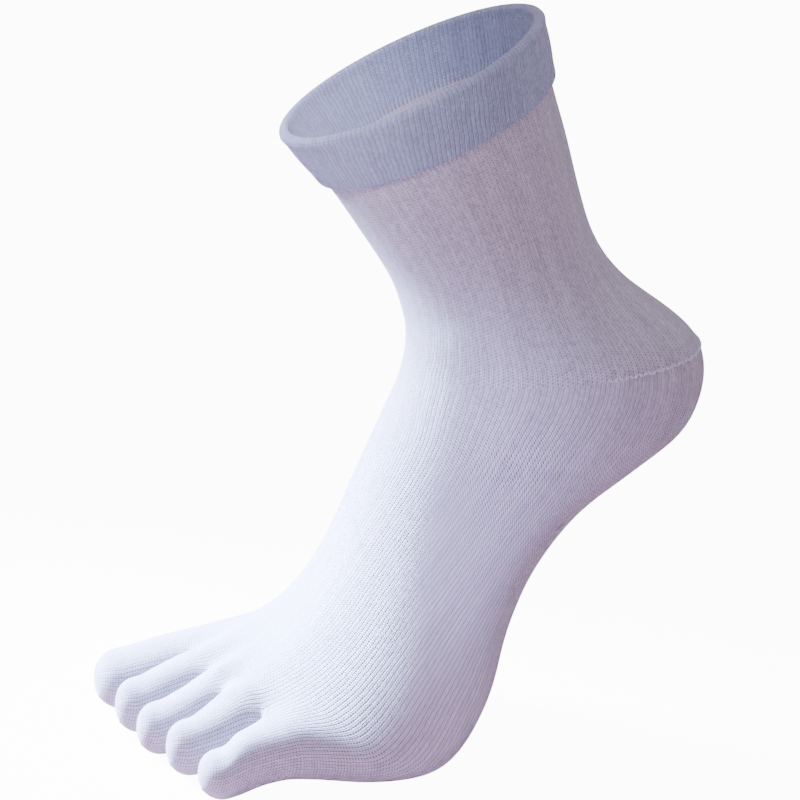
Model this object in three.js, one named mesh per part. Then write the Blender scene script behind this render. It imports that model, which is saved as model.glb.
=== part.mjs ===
// A knitted toe sock for a left foot, filled out as when worn on tiptoe, with nobody in it.
// Millimetres. While it is drawn, +X runs from toes to heel, +Y to the big-toe side and +Z up from
// the floor under the toes. The finished group is moved so that its origin is the middle of the mouth.
import * as THREE from "three";

// The cloth
const clothWall = 1.2; // one knitted layer
const cuffWall = 2.5; // the cuff is turned over, so it is two layers
const seamGap = 0.3; // between pieces that meet at a seam
const rootGap = 0.5; // the same at a toe root, along X; more where the roots' line slants
const cuffProud = 1.1; // how far the cuff stands out from the leg
const cuffBulge = 0.8; // how much further it swells at mid height
const rimRound = 0.9; // rounding of the cuff's folded rim and lower edge

// Points round the sock: five stretches over the toes, one down each side, five under the toes
const sideSteps = 4;
const sideAngle = 15; // degrees above and below the widest line that a side covers on the leg
const slopeStep = 1e-3; // step for slopes found by difference

// Sections of the tube from mouth to toes. front is the shin or instep line, back the calf, heel or
// sole line; outer and inner are half-widths; box is the section's squareness (2 is an ellipse);
// egg widens it towards the back; ridge moves the instep line to the big-toe side; slant is how far
// the section follows the slanting line of the toe roots.
const sections = [
  { at: "mouth", frontX: -37.2, frontZ: 214.8, backX: 42.8, backZ: 251.2,
    outer: 42, inner: 40.5, box: 2, egg: 0, ridge: 0, slant: 0 },
  { at: "cuff end", frontX: -23.8, frontZ: 198.4, backX: 47, backZ: 230.2,
    outer: 38, inner: 38, box: 2, egg: 0, ridge: 0, slant: 0 },
  { at: "calf", frontX: -13, frontZ: 182, backX: 52, backZ: 212.5,
    outer: 34.5, inner: 34.5, box: 2, egg: 0, ridge: 0, slant: 0 },
  { at: "shin", frontX: -3.5, frontZ: 166.4, backX: 56.8, backZ: 193,
    outer: 32, inner: 32, box: 2, egg: 0, ridge: 0, slant: 0 },
  { at: "ankle", frontX: 0.3, frontZ: 155.2, backX: 62, backZ: 177.5,
    outer: 32.5, inner: 32.5, box: 2, egg: 0, ridge: 0, slant: 0 },
  { at: "heel top", frontX: 1.6, frontZ: 148.4, backX: 72, backZ: 163.5,
    outer: 34, inner: 34, box: 2.1, egg: -0.08, ridge: 0, slant: 0 },
  { at: "heel back", frontX: 1.3, frontZ: 139.8, backX: 96.5, backZ: 142.5,
    outer: 35, inner: 35, box: 2.15, egg: -0.14, ridge: 0, slant: 0 },
  { at: "heel", frontX: -1, frontZ: 129.4, backX: 94.5, backZ: 118.3,
    outer: 35, inner: 35, box: 2.15, egg: -0.12, ridge: 0, slant: 0 },
  { at: "heel front", frontX: -4, frontZ: 121.8, backX: 79, backZ: 103.5,
    outer: 35, inner: 35, box: 2.15, egg: -0.04, ridge: 1, slant: 0 },
  { at: "instep", frontX: -9.4, frontZ: 108.5, backX: 59.8, backZ: 88.5,
    outer: 35.5, inner: 35.5, box: 2.2, egg: 0.05, ridge: 3, slant: 0 },
  { at: "arch", frontX: -15.8, frontZ: 91.6, backX: 45, backZ: 69,
    outer: 37.5, inner: 37, box: 2.25, egg: 0.1, ridge: 5, slant: 0.05 },
  { at: "waist", frontX: -22.5, frontZ: 72.7, backX: 36, backZ: 49.4,
    outer: 41, inner: 40, box: 2.3, egg: 0.12, ridge: 7, slant: 0.15 },
  { at: "ball rear", frontX: -31, frontZ: 54, backX: 28.5, backZ: 29,
    outer: 45.5, inner: 44, box: 2.35, egg: 0.12, ridge: 8, slant: 0.3 },
  { at: "ball", frontX: -41, frontZ: 41, backX: 10.5, backZ: 7,
    outer: 49, inner: 47, box: 2.4, egg: 0.1, ridge: 7, slant: 0.5 },
  { at: "ball front", frontX: -51, frontZ: 34, backX: -18, backZ: 0.5,
    outer: 50, inner: 46, box: 2.5, egg: 0.05, ridge: 4, slant: 0.75 },
  { at: "toe roots", frontX: -65, frontZ: 31, backX: -65, backZ: 2.5,
    outer: 49, inner: 41, box: 2.8, egg: 0, ridge: 0, slant: 1 },
];
const ballRow = 13.6; // where the furrows between the toes begin to sink
const furrowPower = 3; // how sharply they sink towards the toe roots

// The line of the toe roots seen from above, from the big-toe side to the little-toe side
const rootLine = [
  { y: 45, x: -62 },
  { y: 30, x: -68.5 },
  { y: 14, x: -69.5 },
  { y: -2.8, x: -63 },
  { y: -18.4, x: -58 },
  { y: -33.5, x: -43.5 },
  { y: -52, x: -28.5 },
];

// Toe pockets. root is where the pocket leaves the foot, knuckle its middle, end the last full
// section, and tip how far the rounded tip reaches past it. steps is how many points span its top.
const toes = [
  { name: "toe_big", steps: 6, rootY: 26, rootHalf: 12, rootTop: 27.6, rootSole: 1.5,
    knuckleX: -82, knuckleY: 24.5, knuckleHalf: 11.4, knuckleTop: 25, knuckleSole: 1,
    endX: -94, endY: 23.5, endHalf: 10.8, endTop: 21.5, endSole: 0, tip: 10.5 },
  { name: "toe_second", steps: 4, rootY: 5.4, rootHalf: 8, rootTop: 31, rootSole: 3,
    knuckleX: -78, knuckleY: 4.8, knuckleHalf: 7.8, knuckleTop: 25.8, knuckleSole: 2,
    endX: -87.5, endY: 4.6, endHalf: 7.5, endTop: 20.5, endSole: 0, tip: 8.3 },
  { name: "toe_middle", steps: 4, rootY: -10.9, rootHalf: 7.4, rootTop: 32.2, rootSole: 3.5,
    knuckleX: -71, knuckleY: -11, knuckleHalf: 7.4, knuckleTop: 24.5, knuckleSole: 2,
    endX: -79.5, endY: -11, endHalf: 7.4, endTop: 19.3, endSole: 0, tip: 8 },
  { name: "toe_fourth", steps: 4, rootY: -25.9, rootHalf: 7.1, rootTop: 33.2, rootSole: 4,
    knuckleX: -62, knuckleY: -26, knuckleHalf: 7.1, knuckleTop: 24.8, knuckleSole: 2,
    endX: -69, endY: -26, endHalf: 7.1, endTop: 20.5, endSole: 0, tip: 7.8 },
  { name: "toe_little", steps: 4, rootY: -41, rootHalf: 7.5, rootTop: 32.8, rootSole: 5,
    knuckleX: -50, knuckleY: -41.6, knuckleHalf: 7.7, knuckleTop: 24.5, knuckleSole: 2.5,
    endX: -57, endY: -42, endHalf: 7.8, endTop: 18, endSole: 0, tip: 8.5 },
];
const rootBox = 2.6; // squareness of a toe where its neighbours press on it
const tipBox = 2.1;
const tipFullness = 0.8; // 1 is an elliptical tip, less is blunter
const furrowTopAngle = 48; // degrees above the middle of a toe at which its top meets its neighbour's
const furrowSoleAngle = 38; // the same below
const webRows = 0.15; // rows of the sections table that the bars between the toe roots reach back

// Where the pieces part, in rows of the sections table, and how many rings each one has
const pieces = [
  { name: "leg", from: 1, to: 5, rings: 11 },
  { name: "heel", from: 5, to: 8.5, rings: 11 },
  { name: "foot", from: 8.5, to: 15, rings: 17 },
];
const cuffRings = 5;
const toeRings = 5;
const tipRings = 4;

const radians = THREE.MathUtils.degToRad;
const blend = THREE.MathUtils.lerp;

const signedPower = (value, power) => Math.sign(value) * Math.abs(value) ** power;

// A smooth value between table rows: a Catmull-Rom cubic, carried straight on past either end.
function alongRows(rows, column, place) {
  const last = rows.length - 1;
  const row = Math.min(Math.max(Math.floor(place), 0), last - 1);
  const f = place - row;
  const b = rows[row][column];
  const c = rows[row + 1][column];
  const a = row > 0 ? rows[row - 1][column] : 2 * b - c;
  const d = row < last - 1 ? rows[row + 2][column] : 2 * c - b;
  return b + 0.5 * f * (c - a + f * (2 * a - 5 * b + 4 * c - d + f * (3 * (b - c) + d - a)));
}

function sectionAt(place) {
  const columns = Object.keys(sections[0]).filter((column) => column !== "at");
  return Object.fromEntries(columns.map((column) => [column, alongRows(sections, column, place)]));
}

// The x of the toe roots at a distance y across the foot, straight between rows and eased.
function rootX(y) {
  const row = Math.min(Math.max(rootLine.findIndex((r) => r.y < y), 1), rootLine.length - 1) - 1;
  const from = y < rootLine.at(-1).y ? rootLine.length - 2 : row;
  const f = (rootLine[from].y - y) / (rootLine[from].y - rootLine[from + 1].y);
  return alongRows(rootLine, "x", from + Math.min(Math.max(f, 0), 1));
}

// A point of the smooth tube, before the furrows. angle 0 is the big-toe side, 90 the front.
function tubePoint(s, angle) {
  const across = signedPower(Math.cos(angle), 2 / s.box);
  const up = signedPower(Math.sin(angle), 2 / s.box);
  const half = across > 0 ? s.inner : s.outer;
  const y = half * across * (1 - s.egg * up) + (s.ridge * (1 + up)) / 2;
  const x = blend(s.backX, s.frontX, (1 + up) / 2) + s.slant * (rootX(y) - rootX(0));
  return new THREE.Vector3(x, y, blend(s.backZ, s.frontZ, (1 + up) / 2));
}

// The angles of a toe's points: over the top, down the little-toe side, under, up the other side.
function toeAngles(toe) {
  const top = radians(furrowTopAngle);
  const sole = radians(furrowSoleAngle);
  const stretch = (from, to, steps) => Array.from({ length: steps }, (_, i) => blend(from, to, i / steps));
  return [
    ...stretch(top, Math.PI - top, toe.steps),
    ...stretch(Math.PI - top, Math.PI + sole, sideSteps),
    ...stretch(Math.PI + sole, 2 * Math.PI - sole, toe.steps),
    ...stretch(2 * Math.PI - sole, 2 * Math.PI + top, sideSteps),
  ];
}

// A point of a toe pocket: place 0 is the root, 1 the end of the full part, 2 the very tip.
function toePoint(toe, place, angle) {
  const along = Math.min(place, 1);
  const turn = (Math.max(place - 1, 0) * Math.PI) / 2;
  const stations = ["root", "knuckle", "end"].map((at) => ({
    x: at === "root" ? rootX(toe.rootY) : toe[at + "X"],
    y: toe[at + "Y"],
    half: toe[at + "Half"],
    top: toe[at + "Top"],
    sole: toe[at + "Sole"],
  }));
  const value = (column) => alongRows(stations, column, along * 2);
  const shrink = Math.max(Math.cos(turn), 0) ** tipFullness;
  const box = blend(rootBox, tipBox, along);
  const across = signedPower(Math.cos(angle), 2 / box) * shrink * value("half");
  const up = signedPower(Math.sin(angle), 2 / box) * shrink;
  const middle = (value("top") + value("sole")) / 2;
  const y = value("y") + across;
  const slant = (rootX(y) - rootX(toe.rootY)) * (1 - along);
  const x = value("x") + slant - toe.tip * Math.sin(turn);
  return new THREE.Vector3(x, y, middle + (up * (value("top") - value("sole"))) / 2);
}

// The outline of the foot's toe end: each toe's top and underside, joined halfway where two meet.
function footEnd() {
  const tops = [];
  const soles = [];
  toes.forEach((toe, k) => {
    const ring = toeAngles(toe).map((angle) => toePoint(toe, 0, angle));
    const sole = toe.steps + sideSteps;
    const top = ring.slice(0, toe.steps + 1);
    const under = ring.slice(sole, sole + toe.steps + 1);
    if (k > 0) {
      top[0] = tops.pop().lerp(top[0], 0.5);
      under[under.length - 1] = soles.shift().lerp(under.at(-1), 0.5);
    }
    tops.push(...top);
    soles.unshift(...under);
  });
  const side = (toe, from) =>
    toeAngles(toe)
      .slice(from + 1, from + sideSteps)
      .map((angle) => toePoint(toe, 0, angle));
  const outerSide = side(toes.at(-1), toes.at(-1).steps);
  const innerSide = side(toes[0], 2 * toes[0].steps + sideSteps);
  return [...tops, ...outerSide, ...soles, ...innerSide];
}

const toeEnd = footEnd();
const roundSteps = toeEnd.length;
const topSteps = toes.reduce((sum, toe) => sum + toe.steps, 0);

// The even angles of the leg's points, and those at the toe roots that stand under each toe point.
const evenAngles = toeEnd.map((_, i) => {
  const side = radians(sideAngle);
  if (i < topSteps) return blend(side, Math.PI - side, i / topSteps);
  if (i < topSteps + sideSteps) return blend(Math.PI - side, Math.PI + side, (i - topSteps) / sideSteps);
  const under = i - topSteps - sideSteps;
  if (under < topSteps) return blend(Math.PI + side, 2 * Math.PI - side, under / topSteps);
  return blend(2 * Math.PI - side, 2 * Math.PI + side, (under - topSteps) / sideSteps);
});
const rootSection = sectionAt(sections.length - 1);
const rootAngles = toeEnd.map((point, i) => {
  const onTop = i <= topSteps;
  const onSole = i >= topSteps + sideSteps && i <= 2 * topSteps + sideSteps;
  if (!onTop && !onSole) return evenAngles[i];
  let [low, high] = onTop ? [0, Math.PI] : [Math.PI, 2 * Math.PI];
  for (let halving = 0; halving < 40; halving += 1) {
    const middle = (low + high) / 2;
    const past = tubePoint(rootSection, middle).y > point.y;
    if (past === onTop) low = middle;
    else high = middle;
  }
  return (low + high) / 2;
});

// A point of the sock's outer face: place counts rows of the sections table, i points round it.
const lastRow = sections.length - 1;
const furrows = toeEnd.map((point, i) => point.clone().sub(tubePoint(rootSection, rootAngles[i])));
function skinPoint(place, i) {
  const n = (i + roundSteps) % roundSteps;
  const shift = THREE.MathUtils.smoothstep(place, sections.length / 2, lastRow);
  const sink = Math.max((place - ballRow) / (lastRow - ballRow), 0) ** furrowPower;
  const angle = blend(evenAngles[n], rootAngles[n], shift);
  return tubePoint(sectionAt(place), angle).addScaledVector(furrows[n], sink);
}

// The outward direction at a point, from its neighbours along and round.
function outward(before, after, left, right) {
  const along = after.clone().sub(before);
  const round = right.clone().sub(left);
  return along.cross(round).normalize();
}

// One ring of the tube: its outer points and its inner points, a wall's thickness in.
function tubeRing(place, wall, proud = 0, shift = 0) {
  const step = slopeStep;
  const low = Math.min(place, lastRow - step);
  const outer = [];
  const inner = [];
  for (let i = 0; i < roundSteps; i += 1) {
    const here = skinPoint(place, i);
    const next = skinPoint(low + step, i);
    const before = skinPoint(low - step, i);
    const out = outward(before, next, skinPoint(place, i - 1), skinPoint(place, i + 1));
    const seam = next.sub(before).normalize().multiplyScalar(shift);
    outer.push(here.clone().addScaledVector(out, proud).add(seam));
    inner.push(here.addScaledVector(out, proud - wall).add(seam));
  }
  return { outer, inner };
}

// Collects triangles and makes one closed mesh of them.
class Surface {
  constructor() {
    this.points = [];
  }

  triangle(a, b, c) {
    for (const p of [a, b, c]) this.points.push(p.x, p.y, p.z);
  }

  quad(a, b, c, d) {
    this.triangle(a, b, c);
    this.triangle(a, c, d);
  }

  // A band between two rows of points; closed when the rows are whole rings.
  band(first, second, closed = true) {
    const last = closed ? first.length : first.length - 1;
    for (let i = 0; i < last; i += 1) {
      const j = (i + 1) % first.length;
      this.quad(first[i], second[i], second[j], first[j]);
    }
  }

  loft(rings, closed = true) {
    rings.slice(1).forEach((ring, r) => this.band(rings[r], ring, closed));
  }

  fan(ring, centre) {
    ring.forEach((p, i) => this.triangle(p, centre, ring[(i + 1) % ring.length]));
  }

  mesh(name, colour) {
    const geometry = new THREE.BufferGeometry();
    geometry.setAttribute("position", new THREE.Float32BufferAttribute(this.points, 3));
    geometry.computeVertexNormals();
    const material = new THREE.MeshStandardMaterial({ color: colour, roughness: 0.95, metalness: 0 });
    const made = new THREE.Mesh(geometry, material);
    made.name = name;
    return made;
  }
}

const steps = (from, to, count) =>
  Array.from({ length: count }, (_, i) => blend(from, to, i / (count - 1)));

// The cuff: a doubled band round the mouth, with a rounded rim and a rounded lower edge.
function makeCuff() {
  const place = (share) => blend(0, pieces[0].from, share);
  const edge = 0.045; // share of the cuff's height that each rounding takes
  const full = steps(edge, 1 - edge, cuffRings).map((s) =>
    tubeRing(place(s), cuffWall, cuffProud + cuffBulge * Math.sin(Math.PI * s)),
  );
  const rim = tubeRing(0, cuffWall - 2 * rimRound, cuffProud - rimRound);
  const hem = tubeRing(pieces[0].from, cuffWall - rimRound, cuffProud - rimRound, -seamGap / 2);
  const surface = new Surface();
  const rings = [rim, ...full, hem];
  surface.loft(rings.map((ring) => ring.outer));
  surface.loft(rings.map((ring) => ring.inner).reverse());
  surface.band(rim.inner, rim.outer);
  surface.band(hem.outer, hem.inner);
  return surface.mesh("cuff", 0xd9dcec);
}

// A plain stretch of the tube between two seams.
function makeTube(piece) {
  const rings = steps(piece.from, piece.to, piece.rings).map((place, r) => {
    const first = r === 0 ? seamGap / 2 : 0;
    const last = r === piece.rings - 1 ? -seamGap / 2 : 0;
    return tubeRing(place, clothWall, 0, first + last);
  });
  const surface = new Surface();
  surface.loft(rings.map((ring) => ring.outer));
  surface.loft(rings.map((ring) => ring.inner).reverse());
  surface.band(rings[0].inner, rings[0].outer);
  surface.band(rings.at(-1).outer, rings.at(-1).inner);
  return surface.mesh(piece.name, 0xf1f0f7);
}

// One ring of a toe pocket, moved forwards by shift.
function toeRing(toe, place, shift = 0) {
  const step = slopeStep;
  const outer = [];
  const inner = [];
  for (const angle of toeAngles(toe)) {
    const here = toePoint(toe, place, angle);
    const next = toePoint(toe, Math.min(place + step, 2), angle);
    const before = toePoint(toe, Math.max(place - step, 0), angle);
    const left = toePoint(toe, place, angle - step);
    const out = outward(before, next, left, toePoint(toe, place, angle + step));
    outer.push(here.clone().setX(here.x - shift));
    inner.push(here.addScaledVector(out, -clothWall).setX(here.x - shift));
  }
  return { outer, inner };
}

// A toe pocket: open at the root, closed over the tip.
function makeToe(toe) {
  const places = [...steps(0, 1, toeRings), ...steps(1, 2, tipRings + 1).slice(1, -1)];
  const slant = rootX(toe.rootY - 1) - rootX(toe.rootY);
  const rings = places.map((place, r) => toeRing(toe, place, r === 0 ? rootGap * (1 + slant) : 0));
  const point = toePoint(toe, 2, 0);
  const surface = new Surface();
  surface.loft(rings.map((ring) => ring.outer));
  surface.fan(rings.at(-1).outer, point);
  surface.fan([...rings.at(-1).inner].reverse(), point.clone().setX(point.x + clothWall));
  surface.loft(rings.map((ring) => ring.inner).reverse());
  surface.band(rings[0].inner, rings[0].outer);
  return surface.mesh(toe.name, 0xf1f0f7);
}

// The foot ends in five holes, one for each toe, parted by four short bars of cloth.
function makeFoot(piece) {
  const surface = new Surface();
  const places = [...steps(piece.from, piece.to - webRows, piece.rings - 1), piece.to];
  const rings = places.map((place, r) => tubeRing(place, clothWall, 0, r === 0 ? seamGap / 2 : 0));
  surface.loft(rings.map((ring) => ring.outer));
  const outerEnd = rings.at(-1).outer;
  const innerEnd = rings.at(-2).inner;
  surface.loft(rings.slice(0, -1).map((ring) => ring.inner).reverse());
  surface.band(rings[0].inner, rings[0].outer);

  const bars = [];
  let top = 0;
  toes.forEach((toe, k) => {
    const under = 2 * topSteps + sideSteps - top - toe.steps;
    const last = k === toes.length - 1;
    const at = (list, from, count) =>
      Array.from({ length: count + 1 }, (_, i) => list[(from + i) % roundSteps]);
    const bridge = (a, b) => steps(0, 1, sideSteps + 1).map((share) => a.clone().lerp(b, share));
    const backTop = at(innerEnd, top, toe.steps);
    const backSole = at(innerEnd, under, toe.steps);
    const backOuter = last
      ? at(innerEnd, topSteps, sideSteps)
      : bridge(innerEnd[top + toe.steps], innerEnd[under]);
    const backInner = k === 0
      ? at(innerEnd, 2 * topSteps + sideSteps, sideSteps)
      : [...bars[k - 1].back].reverse();
    const back = [backTop, backOuter, backSole, backInner].flatMap((row) => row.slice(0, -1));
    const front = toeRing(toe, 0).inner;
    surface.band(front, back);

    const sole = toe.steps + sideSteps;
    surface.band(at(outerEnd, top, toe.steps), front.slice(0, toe.steps + 1), false);
    surface.band(at(outerEnd, under, toe.steps), front.slice(sole, sole + toe.steps + 1), false);
    const inside = [...front.slice(sole + toe.steps), front[0]];
    if (k === 0) surface.band(at(outerEnd, 2 * topSteps + sideSteps, sideSteps), inside, false);
    else {
      const bar = [...bars[k - 1].front].reverse();
      surface.band(bar, inside, false);
      surface.triangle(outerEnd[top], bar.at(-1), front[0]);
      surface.triangle(outerEnd[(under + toe.steps) % roundSteps], inside[0], bar[0]);
    }
    const outside = front.slice(toe.steps, sole + 1);
    if (last) surface.band(at(outerEnd, topSteps, sideSteps), outside, false);
    bars.push({ back: backOuter, front: outside });
    top += toe.steps;
  });
  return surface.mesh(piece.name, 0xf1f0f7);
}

const sock = new THREE.Group();
const mouth = sectionAt(0);
sock.position.set(-(mouth.frontX + mouth.backX) / 2, 0, -(mouth.frontZ + mouth.backZ) / 2);
sock.add(makeCuff(), makeTube(pieces[0]), makeTube(pieces[1]), makeFoot(pieces[2]), ...toes.map(makeToe));

const root = new THREE.Group();
root.add(sock);
export default root;
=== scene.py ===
# Toe sock for a left foot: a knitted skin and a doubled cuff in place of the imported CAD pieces.
# The tables are in millimetres, with heights from the floor under the toes; placed() moves a point
# to the frame, whose origin is the middle of the mouth.
import math
import bmesh
import bpy
from mathutils import Matrix, Vector
from mathutils.bvhtree import BVHTree


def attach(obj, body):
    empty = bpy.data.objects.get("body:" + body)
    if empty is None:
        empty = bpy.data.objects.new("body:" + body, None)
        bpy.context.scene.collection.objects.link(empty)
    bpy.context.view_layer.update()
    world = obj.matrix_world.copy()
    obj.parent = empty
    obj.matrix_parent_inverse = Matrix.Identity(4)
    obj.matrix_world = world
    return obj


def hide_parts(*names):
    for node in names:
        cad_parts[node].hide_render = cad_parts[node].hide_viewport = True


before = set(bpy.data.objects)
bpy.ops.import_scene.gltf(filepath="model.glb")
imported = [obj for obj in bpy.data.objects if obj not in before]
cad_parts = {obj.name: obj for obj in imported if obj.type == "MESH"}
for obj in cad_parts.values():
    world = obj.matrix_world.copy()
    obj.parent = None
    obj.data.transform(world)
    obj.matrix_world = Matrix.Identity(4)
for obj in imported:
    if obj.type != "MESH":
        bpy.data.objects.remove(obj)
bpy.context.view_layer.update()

mm = 0.001
nudge = 0.01  # small step, in places or radians, that a direction is read from

# shape of the sock, the same tables as the CAD source
sectionColumns = ("frontX", "frontZ", "backX", "backZ", "outer", "inner", "box", "egg", "ridge", "slant")
sections = {
    "mouth": (-37.2, 214.8, 42.8, 251.2, 42, 40.5, 2, 0, 0, 0),
    "cuffEnd": (-23.8, 198.4, 47, 230.2, 38, 38, 2, 0, 0, 0),
    "calf": (-13, 182, 52, 212.5, 34.5, 34.5, 2, 0, 0, 0),
    "shin": (-3.5, 166.4, 56.8, 193, 32, 32, 2, 0, 0, 0),
    "ankle": (0.3, 155.2, 62, 177.5, 32.5, 32.5, 2, 0, 0, 0),
    "heelTop": (1.6, 148.4, 72, 163.5, 34, 34, 2.1, -0.08, 0, 0),
    "heelBack": (1.3, 139.8, 96.5, 142.5, 35, 35, 2.15, -0.14, 0, 0),
    "heel": (-1, 129.4, 94.5, 118.3, 35, 35, 2.15, -0.12, 0, 0),
    "heelFront": (-4, 121.8, 79, 103.5, 35, 35, 2.15, -0.04, 1, 0),
    "instep": (-9.4, 108.5, 59.8, 88.5, 35.5, 35.5, 2.2, 0.05, 3, 0),
    "arch": (-15.8, 91.6, 45, 69, 37.5, 37, 2.25, 0.1, 5, 0.05),
    "waist": (-22.5, 72.7, 36, 49.4, 41, 40, 2.3, 0.12, 7, 0.15),
    "ballRear": (-31, 54, 28.5, 29, 45.5, 44, 2.35, 0.12, 8, 0.3),
    "ball": (-41, 41, 10.5, 7, 49, 47, 2.4, 0.1, 7, 0.5),
    "ballFront": (-51, 34, -18, 0.5, 50, 46, 2.5, 0.05, 4, 0.75),
    "toeRoots": (-65, 31, -65, 2.5, 49, 41, 2.8, 0, 0, 1),
}
rootLine = ((45, -62), (30, -68.5), (14, -69.5), (-2.8, -63), (-18.4, -58), (-33.5, -43.5), (-52, -28.5))
# columns of a toe's stations: x, y, half width, top, sole; the root's x comes from rootLine
toes = {
    "toe_big": {"steps": 6, "wales": 18, "tip": 10.5, "root": (None, 26, 12, 27.6, 1.5),
        "knuckle": (-82, 24.5, 11.4, 25, 1), "end": (-94, 23.5, 10.8, 21.5, 0)},
    "toe_second": {"steps": 4, "wales": 13, "tip": 8.3, "root": (None, 5.4, 8, 31, 3),
        "knuckle": (-78, 4.8, 7.8, 25.8, 2), "end": (-87.5, 4.6, 7.5, 20.5, 0)},
    "toe_middle": {"steps": 4, "wales": 13, "tip": 8, "root": (None, -10.9, 7.4, 32.2, 3.5),
        "knuckle": (-71, -11, 7.4, 24.5, 2), "end": (-79.5, -11, 7.4, 19.3, 0)},
    "toe_fourth": {"steps": 4, "wales": 13, "tip": 7.8, "root": (None, -25.9, 7.1, 33.2, 4),
        "knuckle": (-62, -26, 7.1, 24.8, 2), "end": (-69, -26, 7.1, 20.5, 0)},
    "toe_little": {"steps": 4, "wales": 13, "tip": 8.5, "root": (None, -41, 7.5, 32.8, 5),
        "knuckle": (-50, -41.6, 7.7, 24.5, 2.5), "end": (-57, -42, 7.8, 18, 0)},
}
sock = {
    "wall": 1.2, "sideSteps": 4, "sideAngle": 15, "rootBox": 2.6, "tipBox": 2.1, "tipFullness": 0.8,
    "furrowTop": 48, "furrowSole": 38, "ballRow": 13.6, "furrowPower": 3,
    "sideWales": 14, "webWales": 11, "coursePitch": 0.98, "webBack": 1.0,
}
mouthMiddle = Vector((2.8, 0, 233))
lastRow = len(sections) - 1
sectionRows = list(sections.values())


def mix(a, b, share):
    return a + (b - a) * share


def spread(start, end, count):
    return [mix(start, end, n / (count - 1)) for n in range(count)]


def easeBetween(value, start, end):
    share = min(max((value - start) / (end - start), 0), 1)
    return share * share * (3 - 2 * share)


# a Catmull-Rom value between rows, carried straight on past either end
def alongRows(rows, column, place):
    last = len(rows) - 1
    row = min(max(math.floor(place), 0), last - 1)
    f = place - row
    b, c = rows[row][column], rows[row + 1][column]
    a = rows[row - 1][column] if row > 0 else 2 * b - c
    d = rows[row + 2][column] if row < last - 1 else 2 * c - b
    return b + 0.5 * f * (c - a + f * (2 * a - 5 * b + 4 * c - d + f * (3 * (b - c) + d - a)))


sectionCache = {}


def sectionAt(place):
    if place not in sectionCache:
        values = (alongRows(sectionRows, n, place) for n in range(len(sectionColumns)))
        sectionCache[place] = dict(zip(sectionColumns, values))
    return sectionCache[place]


def rootX(y):
    last = len(rootLine) - 2
    row = next((n for n in range(1, last + 2) if rootLine[n][0] < y), last + 1) - 1
    f = (rootLine[row][0] - y) / (rootLine[row][0] - rootLine[row + 1][0])
    return alongRows(rootLine, 1, row + min(max(f, 0), 1))


def signedPower(value, power):
    return math.copysign(abs(value) ** power, value)


# a point of the smooth tube; angle 0 is the big-toe side and 90 degrees the shin or instep
def tubePoint(s, angle):
    across = signedPower(math.cos(angle), 2 / s["box"])
    up = signedPower(math.sin(angle), 2 / s["box"])
    share = (1 + up) / 2
    y = (s["inner"] if across > 0 else s["outer"]) * across * (1 - s["egg"] * up) + s["ridge"] * share
    x = mix(s["backX"], s["frontX"], share) + s["slant"] * (rootX(y) - rootX(0))
    return Vector((x, y, mix(s["backZ"], s["frontZ"], share)))


# angles round a toe: over its top, down its outer side, under it and up its inner side
def toeAngles(toe):
    top, sole = math.radians(sock["furrowTop"]), math.radians(sock["furrowSole"])
    corners = (top, math.pi - top, math.pi + sole, 2 * math.pi - sole, 2 * math.pi + top)
    counts = (toe["steps"], sock["sideSteps"], toe["steps"], sock["sideSteps"])
    return [mix(corners[k], corners[k + 1], n / count)
            for k, count in enumerate(counts) for n in range(count)]


# a point of a toe pocket: place 0 is its root, 1 the end of its full part and 2 the tip
def toePoint(toe, place, angle):
    along, turn = min(place, 1), max(place - 1, 0) * math.pi / 2
    base = rootX(toe["root"][1])
    stations = ((base, *toe["root"][1:]), toe["knuckle"], toe["end"])
    x, y, half, top, sole = (alongRows(stations, column, along * 2) for column in range(5))
    shrink = max(math.cos(turn), 0) ** sock["tipFullness"]
    box = mix(sock["rootBox"], sock["tipBox"], along)
    y += signedPower(math.cos(angle), 2 / box) * shrink * half
    x += (rootX(y) - base) * (1 - along) - toe["tip"] * math.sin(turn)
    z = (top + sole) / 2 + signedPower(math.sin(angle), 2 / box) * shrink * (top - sole) / 2
    return Vector((x, y, z))


# the outline of the foot's toe end, with neighbouring toes joined halfway
def footEnd():
    tops, soles, sides = [], [], []
    for k, toe in enumerate(toes.values()):
        ring = [toePoint(toe, 0, angle) for angle in toeAngles(toe)]
        under = toe["steps"] + sock["sideSteps"]
        top, sole = ring[:toe["steps"] + 1], ring[under:under + toe["steps"] + 1]
        sides.append((ring[toe["steps"] + 1:under], ring[under + toe["steps"] + 1:]))
        if k > 0:
            top[0] = tops.pop().lerp(top[0], 0.5)
            sole[-1] = soles.pop(0).lerp(sole[-1], 0.5)
        tops += top
        soles = sole + soles
    return tops + sides[-1][0] + soles + sides[0][1]


toeEnd = footEnd()
roundSteps = len(toeEnd)
topSteps = sum(toe["steps"] for toe in toes.values())
soleStart = topSteps + sock["sideSteps"]
crotches = [sum(toe["steps"] for toe in list(toes.values())[:k]) for k in range(1, len(toes))]


# point n of a ring before the toes draw it towards themselves
def evenAngle(n):
    side = math.radians(sock["sideAngle"])
    if n < topSteps:
        return mix(side, math.pi - side, n / topSteps)
    if n < soleStart:
        return mix(math.pi - side, math.pi + side, (n - topSteps) / sock["sideSteps"])
    if n < soleStart + topSteps:
        return mix(math.pi + side, 2 * math.pi - side, (n - soleStart) / topSteps)
    return mix(2 * math.pi - side, 2 * math.pi + side, (n - soleStart - topSteps) / sock["sideSteps"])


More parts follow.
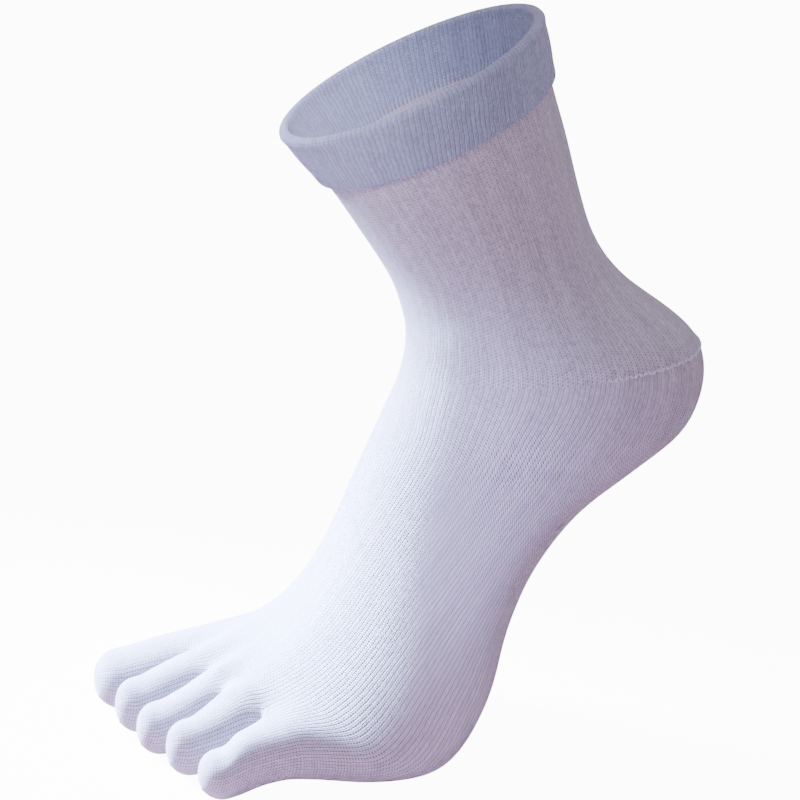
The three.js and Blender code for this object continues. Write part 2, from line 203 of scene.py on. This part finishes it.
# the angle at the toe roots that stands over a toe point, found by halving
def rootAngle(n):
    if topSteps < n < soleStart or n > soleStart + topSteps:
        return evenAngle(n)
    low, high = (0, math.pi) if n <= topSteps else (math.pi, 2 * math.pi)
    for halving in range(40):
        middle = (low + high) / 2
        past = tubePoint(sectionAt(lastRow), middle).y > toeEnd[n].y
        low, high = (middle, high) if past == (n <= topSteps) else (low, middle)
    return (low + high) / 2


evenAngles = [evenAngle(n) for n in range(roundSteps)]
rootAngles = [rootAngle(n) for n in range(roundSteps)]
furrows = [toeEnd[n] - tubePoint(sectionAt(lastRow), rootAngles[n]) for n in range(roundSteps)]


def skinPoint(place, n):
    shift = easeBetween(place, len(sections) / 2, lastRow)
    sink = max((place - sock["ballRow"]) / (lastRow - sock["ballRow"]), 0) ** sock["furrowPower"]
    return tubePoint(sectionAt(place), mix(evenAngles[n], rootAngles[n], shift)) + furrows[n] * sink


def placed(point):
    return (point - mouthMiddle) * mm


# rings of a tube are grown from its last one with extrude
def growRing(bm, ring, points):
    edges = [bm.edges.get((ring[n - 1], ring[n])) for n in range(len(ring))]
    made = bmesh.ops.extrude_edge_only(bm, edges=edges)["geom"]
    fresh = {v for v in made if isinstance(v, bmesh.types.BMVert)}
    grown = [next(e.other_vert(v) for e in v.link_edges if e.other_vert(v) in fresh) for v in ring]
    for vertex, point in zip(grown, points):
        vertex.co = placed(point)
    return grown


# stitch coordinates: u counts wales round the knit, v counts courses along it
def layStitches(bm, ring, grown, wales, before, after, walesAfter=None):
    walesAfter = walesAfter or wales
    uv = bm.loops.layers.uv["knit"]
    count = len(ring)
    for n in range(count):
        m = (n + 1) % count  # the last wale meets the first, so wales holds one number more
        corners = {ring[n]: (wales[n], before[n]), ring[m]: (wales[n + 1], before[m]),
                   grown[n]: (walesAfter[n], after[n]), grown[m]: (walesAfter[n + 1], after[m])}
        face = next(f for f in ring[n].link_faces if ring[m] in f.verts and grown[n] in f.verts)
        for loop in face.loops:
            loop[uv].uv = corners[loop.vert]


# wale numbers at the points of a ring whose stretches have the given steps and wales
def waleCounts(steps, counts):
    total, marks = 0.0, [0.0]
    for stretch, wales in zip(steps, counts):
        marks += [total + wales * (n + 1) / stretch for n in range(stretch)]
        total += wales
    return marks


# wales lie evenly round the tube and turn a little about it on their way down; below the gore the
# heel's are drawn towards its back, and near the roots they gather into the toes' own counts
def ringWales(row, place, toeWales, drawn=0):
    front, half = topSteps // 2, roundSteps // 2
    walked = [0.0]
    for n in range(front, front + roundSteps):
        walked.append(walked[-1] + (row[(n + 1) % roundSteps] - row[n % roundSteps]).length)
    whole = toeWales[-1]
    even = []
    for n in range(roundSteps + 1):
        m = n - front if n >= front else n - front + roundSteps
        if m <= half:
            turn = 0.5 * walked[m] / walked[half]
        else:
            turn = 0.5 + 0.5 * (walked[m] - walked[half]) / (walked[-1] - walked[half])
        pull = drawn * math.sin(2 * math.pi * turn) * (1 - math.cos(2 * math.pi * turn)) / 2
        even.append(body["frontWale"] + whole * (turn - (0 if n >= front else 1)) - pull)
    share = easeBetween(place, body["gatherFrom"], lastRow)
    spiral = alongRows([(t,) for t in body["turns"]], 0, place)
    return [mix(a, b, share) + spiral for a, b in zip(even, toeWales)]


def smooth(obj):
    for polygon in obj.data.polygons:
        polygon.use_smooth = True


def addObject(name, bm):
    mesh = bpy.data.meshes.new(name)
    bm.to_mesh(mesh)
    bm.free()
    obj = bpy.data.objects.new(name, mesh)
    bpy.context.scene.collection.objects.link(obj)
    smooth(obj)
    return obj


body = {
    "start": 0.8, "ankle": 5, "gore": 6.0, "legRings": 13, "heelRings": 6, "footRings": 28,
    "frontWale": 35, "gatherFrom": 11.5, "heelDraw": 6, "heelDrawEnd": 7.6,
    # wales that the knit has turned round the tube by at each section, a whole number at the toes
    "turns": (0, 0, 0, 0, 0.5, 2.2, 7.5, 8, 5.5, 3.6, 5.3, 9.4, 13.6, 16, 17.2, 18),
    "toePlaces": (0.14, 0.36, 0.6, 0.82, 1.0, 1.22, 1.44, 1.66, 1.85), "tipCourses": 2, "levels": 2,
    "valley": {"from": 13.7, "depth": 2.4, "beside": 0.3},
    "ease": {"outside": -35.5, "front": -50, "rear": -14, "rounds": 12},
}


# the valleys between the toes run a little way up the foot
def valleyPoint(place, n):
    valley = body["valley"]
    nearest = min(abs(n - crotch) for crotch in crotches)
    depth = valley["depth"] * {0: 1, 1: valley["beside"]}.get(nearest, 0)
    return skinPoint(place, n) - Vector((0, 0, depth * easeBetween(place, valley["from"], lastRow)))


def makeBody():
    places = spread(body["start"], body["ankle"], body["legRings"])
    places += spread(body["ankle"], body["gore"], body["heelRings"])[1:]
    gore = len(places) - 1
    places += spread(body["gore"], lastRow, body["footRings"])[1:]
    rows = [[valleyPoint(place, n) for n in range(roundSteps)] for place in places]
    topWales = [toe["wales"] for toe in toes.values()]
    steps = [toe["steps"] for toe in toes.values()]
    toeWales = waleCounts(steps + [sock["sideSteps"]] + steps[::-1] + [sock["sideSteps"]],
                          topWales + [sock["sideWales"]] + topWales[::-1] + [sock["sideWales"]])
    legWales = [ringWales(row, place, toeWales) for row, place in zip(rows, places)]
    draws = [body["heelDraw"] * (1 - easeBetween(place, body["gore"], body["heelDrawEnd"]))
             for place in places]
    footWales = [ringWales(row, place, toeWales, draw) for row, place, draw in zip(rows, places, draws)]
    courses = [[0.0] * roundSteps]
    for before, after in zip(rows, rows[1:]):
        courses.append([c + (q - p).length / sock["coursePitch"]
                        for c, p, q in zip(courses[-1], before, after)])
    # below the gore the courses are counted back from the toes
    fromToes = [[c - whole for c, whole in zip(row, courses[-1])] for row in courses]

    bm = bmesh.new()
    bm.loops.layers.uv.new("knit")
    ring = bmesh.ops.create_circle(bm, segments=roundSteps, radius=0.03)["verts"]
    for vertex, point in zip(ring, rows[0]):
        vertex.co = placed(point)
    for r in range(1, len(places)):
        grown = growRing(bm, ring, rows[r])
        wales, counted = (legWales, courses) if r <= gore else (footWales, fromToes)
        layStitches(bm, ring, grown, wales[r - 1], counted[r - 1], counted[r], wales[r])
        ring = grown
    growToes(bm, ring)
    easeLittleToe(bm)
    bmesh.ops.recalc_face_normals(bm, faces=bm.faces)
    obj = addObject("knitSkin", bm)
    fine = obj.modifiers.new("fine", "SUBSURF")
    fine.levels = fine.render_levels = body["levels"]
    wall = obj.modifiers.new("wall", "SOLIDIFY")
    wall.thickness, wall.offset, wall.material_offset = sock["wall"] * mm, -1, 1
    return obj


# the foot's side runs on smoothly into the little toe
def easeLittleToe(bm):
    ease = body["ease"]
    front, rear = (placed(Vector((x, ease["outside"], 0))) for x in (ease["front"], ease["rear"]))
    near = [v for v in bm.verts if v.co.y < front.y and front.x < v.co.x < rear.x]
    for turn in range(ease["rounds"]):
        # x stays, so that the courses keep their pitch
        bmesh.ops.smooth_vert(bm, verts=near, factor=0.5, use_axis_x=False, use_axis_y=True,
                              use_axis_z=True)


# toe pockets grow from the foot's last ring, and neighbours share the line of the crotch
def growToes(bm, ring):
    side, webs, top = sock["sideSteps"], [], 0
    for k, toe in enumerate(toes.values()):
        under = 2 * topSteps + side - top - toe["steps"]
        topArc = ring[top:top + toe["steps"] + 1]
        soleArc = [ring[(under + n) % roundSteps] for n in range(toe["steps"] + 1)]
        if k == len(toes) - 1:
            outerSide = ring[topSteps + 1:topSteps + side]
        else:
            outerSide = [bm.verts.new(topArc[-1].co.lerp(soleArc[0].co, n / side)) for n in range(1, side)]
            for n, vertex in enumerate(outerSide):
                vertex.co.x += sock["webBack"] * mm * math.sin(math.pi * (n + 1) / side)
            for a, b in zip([topArc[-1], *outerSide], [*outerSide, soleArc[0]]):
                bm.edges.new((a, b))
        innerSide = ring[2 * topSteps + side + 1:] if k == 0 else webs[-1][::-1]
        webs.append(outerSide)
        loop = topArc + outerSide + soleArc + innerSide
        outerWales = sock["sideWales"] if k == len(toes) - 1 else sock["webWales"]
        innerWales = sock["sideWales"] if k == 0 else sock["webWales"]
        wales = waleCounts([toe["steps"], side, toe["steps"], side],
                           [toe["wales"], outerWales, toe["wales"], innerWales])
        courses = [0.0] * len(loop)
        for place in body["toePlaces"]:
            points = [toePoint(toe, place, angle) for angle in toeAngles(toe)]
            last = [v.co.copy() for v in loop]
            grown = growRing(bm, loop, points)
            along = [c + (v.co - p).length / mm / sock["coursePitch"]
                     for c, v, p in zip(courses, grown, last)]
            layStitches(bm, loop, grown, wales, courses, along)
            loop, courses = grown, along
        tip = toePoint(toe, 2, 0)
        grown = growRing(bm, loop, [tip] * len(loop))
        layStitches(bm, loop, grown, wales, courses, [c + body["tipCourses"] for c in courses])
        bmesh.ops.pointmerge(bm, verts=grown, merge_co=placed(tip))
        top += toe["steps"]


# the cuff: a closed band of two layers with a rolled rim, its wales raised as fine ribs
cuff = {
    "wales": 168, "across": 4, "proud": 1.1, "bulge": 0.8, "wall": 2.5, "rib": 0.13, "height": 21.5,
    "rows": 19, "insideRows": 16, "rim": 1.5, "rimRows": 6, "hemRows": 4, "lean": 0.13,
    # the rim is rolled and the lower edge of the outer layer fuller, between these shares of the height
    "roll": 0.45, "rollOutside": 0.18, "rollInside": 0.16, "puff": 0.35, "puffBetween": (0.72, 0.9),
}


# (share of the height, offset from the leg's skin) once round the band's section
def cuffProfile():
    start = cuff["rim"] / cuff["height"]
    reach = 1 - start
    outer = cuff["proud"] + cuff["roll"]
    layer = cuff["proud"] - cuff["wall"]
    profile = []
    for p in spread(reach, start, cuff["rows"]):
        rolled = cuff["roll"] * (1 - easeBetween(p, start, cuff["rollOutside"]))
        puffed = cuff["puff"] * easeBetween(p, *cuff["puffBetween"])
        profile.append((p, cuff["proud"] + cuff["bulge"] * math.sin(math.pi * p) + rolled + puffed))
    for a in spread(0, math.pi, cuff["rimRows"] + 2)[1:-1]:
        profile.append((start - start * math.sin(a), mix(outer, layer - cuff["roll"], (1 - math.cos(a)) / 2)))
    for p in spread(start, reach, cuff["insideRows"]):
        profile.append((p, layer - cuff["roll"] * (1 - easeBetween(p, start, cuff["rollInside"]))))
    for a in spread(0, math.pi, cuff["hemRows"] + 2)[1:-1]:
        profile.append((reach + start * math.sin(a), mix(layer, cuff["proud"], (1 - math.cos(a)) / 2)))
    return profile


def cuffPoint(place, turn, offset):
    s = sectionAt(place)
    here = tubePoint(s, turn)
    along = tubePoint(sectionAt(place + nudge), turn) - here
    out = along.cross(tubePoint(s, turn + nudge) - here).normalized()
    return here + out * offset


def makeCuff():
    count = cuff["wales"] * cuff["across"]
    profile = cuffProfile()
    turns = [2 * math.pi * n / count for n in range(count)]
    ribs = [cuff["rib"] * math.cos(2 * math.pi * n / cuff["across"]) for n in range(count)]
    rows = []
    for place, offset in profile:
        outward = 1 if offset > cuff["proud"] - cuff["wall"] / 2 else -1
        lean = cuff["lean"] * (1 - place)
        rows.append([cuffPoint(place, turn - lean * math.cos(turn), offset + rib * outward)
                     for turn, rib in zip(turns, ribs)])
    wales = [n / cuff["across"] for n in range(count + 1)]
    courses = [0.0]
    for before, after in zip(rows, rows[1:] + rows[:1]):
        courses.append(courses[-1] + (after[0] - before[0]).length / sock["coursePitch"])
    bm = bmesh.new()
    bm.loops.layers.uv.new("knit")
    first = bmesh.ops.create_circle(bm, segments=count, radius=0.04)["verts"]
    for vertex, point in zip(first, rows[0]):
        vertex.co = placed(point)
    ring = first
    for r, row in enumerate(rows[1:] + rows[:1], 1):
        grown = growRing(bm, ring, row)
        layStitches(bm, ring, grown, wales, [courses[r - 1]] * count, [courses[r]] * count)
        ring = grown
    bmesh.ops.weld_verts(bm, targetmap=dict(zip(ring, first)))
    bmesh.ops.recalc_face_normals(bm, faces=bm.faces)
    return addObject("cuffBand", bm)


# small stitches at the stops of (point, way out, way ahead), set on the skin where it is given
def stitchRow(name, stops, row, skinTree=None):
    bm = bmesh.new()
    long, wide, high = row["size"]
    for n, (point, out, ahead) in enumerate(stops):
        if skinTree:
            point = mouthMiddle + skinTree.find_nearest(placed(point))[0] / mm
        across = out.cross(ahead).normalized()
        tilt = ahead * math.cos(row["lean"]) + across * math.sin(row["lean"]) * (1 if n % 2 else -1)
        tilt = tilt.normalized()
        side = out.cross(tilt)
        middle = point - out * row["sink"]
        made = bmesh.ops.create_uvsphere(bm, u_segments=8, v_segments=5, radius=1)["verts"]
        for v in made:
            v.co = placed(middle + tilt * v.co.x * long + side * v.co.y * wide + out * v.co.z * high)
    return addObject(name, bm)


# stops at an even pitch along a line of points, with the way out of the knit at each of its stretches
def stopsAlong(line, outs, pitch):
    stops, walked = [], 0.0
    for a, b, out in zip(line, line[1:], outs):
        walked += (b - a).length
        if walked >= pitch:
            walked = 0.0
            stops.append((b, out, (b - a).normalized()))
    return stops


# the gore line runs from either side of the foot to the back of the heel, at angles in degrees
goreLine = {
    "place": 6.0, "from": 197, "heelBack": 270,
    "pitch": 1.6, "size": (0.85, 0.45, 0.6), "lean": 0.6, "sink": -0.1,
}


def makeGoreStitches(skinTree):
    place = goreLine["place"]
    above, here, below = (sectionAt(p) for p in (place - 2 * nudge, place, place + 2 * nudge))
    stops = []
    for side in (goreLine["from"], 2 * goreLine["heelBack"] - goreLine["from"]):
        angles = [math.radians(a) for a in spread(side, goreLine["heelBack"], 200)]
        outs = []
        for angle in angles:
            along = tubePoint(below, angle) - tubePoint(above, angle)
            around = tubePoint(here, angle + nudge) - tubePoint(here, angle - nudge)
            outs.append(along.cross(around).normalized())
        stops += stopsAlong([tubePoint(here, angle) for angle in angles], outs, goreLine["pitch"])
    return stitchRow("goreStitches", stops, goreLine, skinTree)


hemLine = {"place": 1.0, "offset": 0.45, "size": (0.62, 0.3, 0.34), "lean": 0.5, "sink": 0}


def makeHemStitches():
    stops = []
    for n in range(cuff["wales"]):
        turn = 2 * math.pi * (n + 0.5) / cuff["wales"]
        here = cuffPoint(hemLine["place"], turn, 0)
        out = (cuffPoint(hemLine["place"], turn, 1) - here).normalized()
        ahead = (cuffPoint(hemLine["place"], turn + nudge, 0) - here).normalized()
        stops.append((here + out * hemLine["offset"], out, ahead))
    return stitchRow("hemStitches", stops, hemLine)


# each toe is closed by a short row of stitches low on the front of its tip
toeSeam = {
    "from": 196, "to": 344, "place": 1.62, "pitch": 1.0, "size": (0.6, 0.35, 0.34), "lean": 0.6, "sink": 0.12,
}


def makeToeSeams(skinTree):
    place = toeSeam["place"]
    angles = [math.radians(a) for a in spread(toeSeam["from"], toeSeam["to"], 120)]
    stops = []
    for toe in toes.values():
        line = [toePoint(toe, place, angle) for angle in angles]
        outs = []
        for angle, point in zip(angles[1:], line[1:]):
            along = toePoint(toe, place + 2 * nudge, angle) - toePoint(toe, place - 2 * nudge, angle)
            around = toePoint(toe, place, angle + 2 * nudge) - point
            outs.append(along.cross(around).normalized())
        stops += stopsAlong(line, outs, toeSeam["pitch"])
    return stitchRow("toeSeams", stops, toeSeam, skinTree)


# materials
def link(tree, source, target):
    tree.links.new(source, target)


def calc(tree, operation, *values):
    node = tree.nodes.new("ShaderNodeMath")
    node.operation = operation
    for socket, value in zip(node.inputs, values):
        if isinstance(value, (int, float)):
            socket.default_value = value
        else:
            link(tree, value, socket)
    return node.outputs[0]


def remap(tree, value, low, high, outLow=0.0, outHigh=1.0):
    node = tree.nodes.new("ShaderNodeMapRange")
    node.interpolation_type = "SMOOTHSTEP"
    link(tree, value, node.inputs["Value"])
    for name, number in (("From Min", low), ("From Max", high), ("To Min", outLow), ("To Max", outHigh)):
        node.inputs[name].default_value = number
    return node.outputs["Result"]


# how a stitch is drawn; widths are shares of the way from the middle of a wale to its edge
jersey = {
    "unevenScale": 180, "unevenDetail": 2, "waleRound": 2.2, "partingWidth": 0.3, "partingHeight": 0.45,
    "betweenWales": (0.34, 0.74), "middleWidth": 0.34, "middleShade": 0.7, "waleTone": 0.35,
}


# one jersey stitch per unit square of Stitch: a V of two strands, with gaps beside it; the gap mask marks
# where painted shade goes, in the recesses between the wales and in the middle of each V
def makeKnitGroup():
    group = bpy.data.node_groups.new("jerseyKnit", "ShaderNodeTree")
    group.interface.new_socket(name="Stitch", in_out="INPUT", socket_type="NodeSocketVector")
    for name, value in (("Lean", 0.5), ("Wobble", 0.12), ("Dots", 0.7)):
        socket = group.interface.new_socket(name=name, in_out="INPUT", socket_type="NodeSocketFloat")
        socket.default_value = value
    for name in ("Height", "GapShade", "Tone"):
        group.interface.new_socket(name=name, in_out="OUTPUT", socket_type="NodeSocketFloat")
    given = group.nodes.new("NodeGroupInput").outputs
    out = group.nodes.new("NodeGroupOutput").inputs
    place = group.nodes.new("ShaderNodeTexCoord").outputs["Object"]
    uneven = group.nodes.new("ShaderNodeTexNoise")
    uneven.inputs["Scale"].default_value = jersey["unevenScale"]
    uneven.inputs["Detail"].default_value = jersey["unevenDetail"]
    link(group, place, uneven.inputs["Vector"])
    shift = calc(group, "MULTIPLY", calc(group, "SUBTRACT", uneven.outputs["Fac"], 0.5), given["Wobble"])
    split = group.nodes.new("ShaderNodeSeparateXYZ")
    link(group, given["Stitch"], split.inputs[0])
    u = calc(group, "ADD", split.outputs["X"], shift)
    v = calc(group, "ADD", split.outputs["Y"], shift)
    offset = calc(group, "SUBTRACT", calc(group, "FRACT", u), 0.5)
    side = calc(group, "MULTIPLY", calc(group, "ABSOLUTE", offset), 2)
    wale = calc(group, "SUBTRACT", 1, calc(group, "POWER", side, jersey["waleRound"]))
    phase = calc(group, "SUBTRACT", v, calc(group, "MULTIPLY", side, given["Lean"]))
    wave = calc(group, "COSINE", calc(group, "MULTIPLY", phase, 2 * math.pi))
    strand = calc(group, "MULTIPLY_ADD", wave, 0.5, 0.5)
    parting = remap(group, side, 0.0, jersey["partingWidth"], jersey["partingHeight"], 1.0)
    rounded = calc(group, "MULTIPLY", wale, parting)
    relief = calc(group, "MULTIPLY", rounded, calc(group, "MULTIPLY_ADD", strand, 0.5, 0.5))
    link(group, relief, out["Height"])
    # painted shade: the mask is high in the recesses between the wales and in the middle of each V, dotted
    # along the strands; it also stands partly for the darker inside seen through the holes
    between = remap(group, side, *jersey["betweenWales"])
    middle = remap(group, side, 0.0, jersey["middleWidth"], jersey["middleShade"], 0.0)
    holes = calc(group, "SUBTRACT", 1, calc(group, "MULTIPLY", strand, given["Dots"]))
    link(group, calc(group, "ADD", calc(group, "MULTIPLY", between, holes), middle), out["GapShade"])
    # each wale and each stitch has its own tone
    wales = group.nodes.new("ShaderNodeTexWhiteNoise")
    wales.noise_dimensions = "1D"
    link(group, calc(group, "FLOOR", u), wales.inputs["W"])
    strandNumber = group.nodes.new("ShaderNodeCombineXYZ")
    link(group, calc(group, "FLOOR", calc(group, "MULTIPLY", u, 2)), strandNumber.inputs["X"])
    link(group, calc(group, "FLOOR", phase), strandNumber.inputs["Y"])
    stitches = group.nodes.new("ShaderNodeTexWhiteNoise")
    stitches.noise_dimensions = "2D"
    link(group, strandNumber.outputs["Vector"], stitches.inputs["Vector"])
    ownTone = calc(group, "MULTIPLY", stitches.outputs["Value"], 1 - jersey["waleTone"])
    link(group, calc(group, "MULTIPLY_ADD", wales.outputs["Value"], jersey["waleTone"], ownTone), out["Tone"])
    return group


# each yarn's gap colour, and how strongly it is laid on, is painted shade in the recesses between the
# strands, partly the darker inside seen through the holes
yarn = {
    "knit": {
        "colour": (0.88, 0.89, 0.98), "gapShade": (0.1, 0.06, 0.1), "gapShadeAmount": 1.0, "slack": 0.45,
        "relief": 0.18, "roughness": 0.92, "sheen": 0.35, "through": 0,
        "lean": 0.5, "wobble": 0.2, "dots": 0.82, "uneven": 0.42,
    },
    "inside": {
        "colour": (0.78, 0.79, 0.88), "gapShade": (0.42, 0.4, 0.52), "gapShadeAmount": 0.6, "slack": 1,
        "relief": 0.3, "roughness": 0.95, "sheen": 0.25, "through": 0,
        "lean": -0.5, "wobble": 0.12, "dots": 0.7, "uneven": 0.15,
    },
    "cuffKnit": {
        "colour": (0.65, 0.78, 1.0), "gapShade": (0.18, 0.19, 0.28), "gapShadeAmount": 0.5, "slack": 1,
        "relief": 0.4, "roughness": 0.9, "sheen": 0.3, "through": 0.4,
        "lean": 0.35, "wobble": 0.75, "dots": 0.2, "uneven": 0.4,
    },
    "thread": {
        "colour": (0.94, 0.94, 0.98), "gapShade": (0.45, 0.42, 0.52), "gapShadeAmount": 0.3, "slack": 1,
        "relief": 0.1, "roughness": 0.9, "sheen": 0.3, "through": 0,
        "lean": 0.5, "wobble": 0.12, "dots": 0.7, "uneven": 0.1,
    },
}
# what all the yarns share; the knit slackens between two heights, in millimetres from the mouth
cloth = {
    "sheenRoughness": 0.5, "specular": 0.2, "throughDepth": 1.5, "slackBetween": (-140, -60),
    "mottleScale": 60, "mottleDetail": 4, "mottleBetween": (0.3, 0.7), "mottleDark": 0.96,
}


def makeYarn(name, group):
    finish = yarn[name]
    material = bpy.data.materials.new(name)
    material.use_nodes = True
    tree = material.node_tree
    shader = tree.nodes["Principled BSDF"]
    shader.inputs["Roughness"].default_value = finish["roughness"]
    shader.inputs["Sheen Weight"].default_value = finish["sheen"]
    shader.inputs["Sheen Roughness"].default_value = cloth["sheenRoughness"]
    shader.inputs["Specular IOR Level"].default_value = cloth["specular"]
    # a little light comes through the cuff
    shader.inputs["Subsurface Weight"].default_value = finish["through"]
    shader.inputs["Subsurface Scale"].default_value = cloth["throughDepth"] * mm
    shader.inputs["Subsurface Radius"].default_value = (1, 1, 1)
    knit = tree.nodes.new("ShaderNodeGroup")
    knit.node_tree = group
    knit.inputs["Lean"].default_value = finish["lean"]
    knit.inputs["Wobble"].default_value = finish["wobble"]
    knit.inputs["Dots"].default_value = finish["dots"]
    stitchMap = tree.nodes.new("ShaderNodeUVMap")
    stitchMap.uv_map = "knit"
    link(tree, stitchMap.outputs["UV"], knit.inputs["Stitch"])
    mottle = tree.nodes.new("ShaderNodeTexNoise")
    mottle.inputs["Scale"].default_value = cloth["mottleScale"]
    mottle.inputs["Detail"].default_value = cloth["mottleDetail"]
    place = tree.nodes.new("ShaderNodeTexCoord").outputs["Object"]
    link(tree, place, mottle.inputs["Vector"])
    # the knit is stretched over the foot, and slacker and closer up the leg, where less painted shade goes
    # into its gaps
    height = tree.nodes.new("ShaderNodeSeparateXYZ")
    link(tree, place, height.inputs[0])
    low, high = (z * mm for z in cloth["slackBetween"])
    gapShadeAmount = remap(tree, height.outputs["Z"], low, high,
                      finish["gapShadeAmount"], finish["gapShadeAmount"] * finish["slack"])
    tone = calc(tree, "MULTIPLY_ADD", knit.outputs["Tone"], finish["uneven"], 1 - finish["uneven"])
    mottled = remap(tree, mottle.outputs["Fac"], *cloth["mottleBetween"], cloth["mottleDark"], 1.0)
    tone = calc(tree, "MULTIPLY", tone, mottled)
    # the yarn's colour is darkened towards the gap colour where the painted shade in the gaps falls, and
    # varied by each stitch's own tone and the mottle
    lit = tree.nodes.new("ShaderNodeMix")
    lit.data_type, lit.blend_type = "RGBA", "MIX"
    lit.inputs["A"].default_value = (*finish["gapShade"], 1)
    lit.inputs["B"].default_value = (*finish["colour"], 1)
    covered = calc(tree, "SUBTRACT", 1, calc(tree, "MULTIPLY", knit.outputs["GapShade"], gapShadeAmount))
    link(tree, calc(tree, "MULTIPLY", covered, tone), lit.inputs["Factor"])
    link(tree, lit.outputs["Result"], shader.inputs["Base Color"])
    bump = tree.nodes.new("ShaderNodeBump")
    bump.inputs["Distance"].default_value = finish["relief"] * mm
    link(tree, knit.outputs["Height"], bump.inputs["Height"])
    link(tree, bump.outputs["Normal"], shader.inputs["Normal"])
    return material


view = {
    "distance": 1100, "elevation": 22, "aim": (0, 0, 122.5), "lens": 153.45, "sensor": 36,
    "floor": 1500, "floorDrop": 0.1, "floorColour": (0.33, 0.18, 0.19), "floorGlow": 12,
    "world": (0.97, 0.83, 1.05), "worldStrength": 0.71,
}
lights = {
    "key": {"at": (-380, 170, 260), "aim": (-72, 0, 40), "size": 230, "spread": 26, "power": 5.7,
            "colour": (0.5, 0.63, 1.0)},
    "cuff": {"at": (-150, -620, 740), "aim": (-46, 0, 212), "size": 100, "spread": 6.5, "power": 0.054,
             "colour": (0.74, 0.67, 0.92)},
    "side": {"at": (-400, -480, 360), "aim": (0, -20, 106), "size": 100, "spread": 6.5, "power": 0.068,
             "colour": (0.56, 0.58, 1.0)},
}


def makeStage():
    scene = bpy.context.scene
    camera = bpy.data.objects.new("camera", bpy.data.cameras.new("camera"))
    scene.collection.objects.link(camera)
    tilt = math.radians(view["elevation"])
    back = Vector((0, -math.cos(tilt), math.sin(tilt)))
    aim = placed(Vector(view["aim"]))
    camera.location = aim + back * view["distance"] * mm
    camera.rotation_euler = (-back).to_track_quat("-Z", "Y").to_euler()
    camera.data.lens, camera.data.sensor_width = view["lens"], view["sensor"]
    scene.camera = camera
    for name, lamp in lights.items():
        data = bpy.data.lights.new(name, "AREA")
        data.energy, data.size, data.color = lamp["power"], lamp["size"] * mm, lamp["colour"]
        data.spread = math.radians(lamp["spread"])
        obj = bpy.data.objects.new(name, data)
        scene.collection.objects.link(obj)
        obj.location = placed(Vector(lamp["at"]))
        ahead = placed(Vector(lamp["aim"])) - obj.location
        obj.rotation_euler = ahead.to_track_quat("-Z", "Y").to_euler()
    world = bpy.data.worlds.new("studio")
    world.use_nodes = True
    background = world.node_tree.nodes["Background"]
    background.inputs["Color"].default_value = (*view["world"], 1)
    background.inputs["Strength"].default_value = view["worldStrength"]
    scene.world = world
    bm = bmesh.new()
    bmesh.ops.create_circle(bm, cap_ends=True, segments=96, radius=view["floor"] * mm)
    floor = addObject("floor", bm)
    floor.data.transform(Matrix.Translation(placed(Vector((0, 0, -view["floorDrop"])))))
    paper = bpy.data.materials.new("paper")
    paper.use_nodes = True
    tree = paper.node_tree
    shader = tree.nodes["Principled BSDF"]
    shader.inputs["Base Color"].default_value = (*view["floorColour"], 1)
    shader.inputs["Roughness"].default_value = 0.9
    shader.inputs["Emission Color"].default_value = (1, 1, 1, 1)
    # the paper shines only where the camera sees it, so it doesn't light the sole
    seen = tree.nodes.new("ShaderNodeLightPath").outputs["Is Camera Ray"]
    link(tree, calc(tree, "MULTIPLY", seen, view["floorGlow"]), shader.inputs["Emission Strength"])
    floor.data.materials.append(paper)


makeStage()
print("stage set")
group = makeKnitGroup()
finishes = {name: makeYarn(name, group) for name in yarn}
skin = makeBody()
print("skin", len(skin.data.polygons), "faces in the cage")
band = makeCuff()
print("cuff", len(band.data.polygons), "faces")
skinTree = BVHTree.FromObject(skin, bpy.context.evaluated_depsgraph_get())
gore, hem, seams = makeGoreStitches(skinTree), makeHemStitches(), makeToeSeams(skinTree)
print("stitches", [len(o.data.polygons) for o in (gore, hem, seams)])
worn = {
    skin: ("knit", "inside"), band: ("cuffKnit",),
    gore: ("thread",), hem: ("thread",), seams: ("thread",),
}
for obj, names in worn.items():
    for name in names:
        obj.data.materials.append(finishes[name])
    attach(obj, "root")
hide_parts("leg", "heel", "foot", *toes)
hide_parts("cuff")
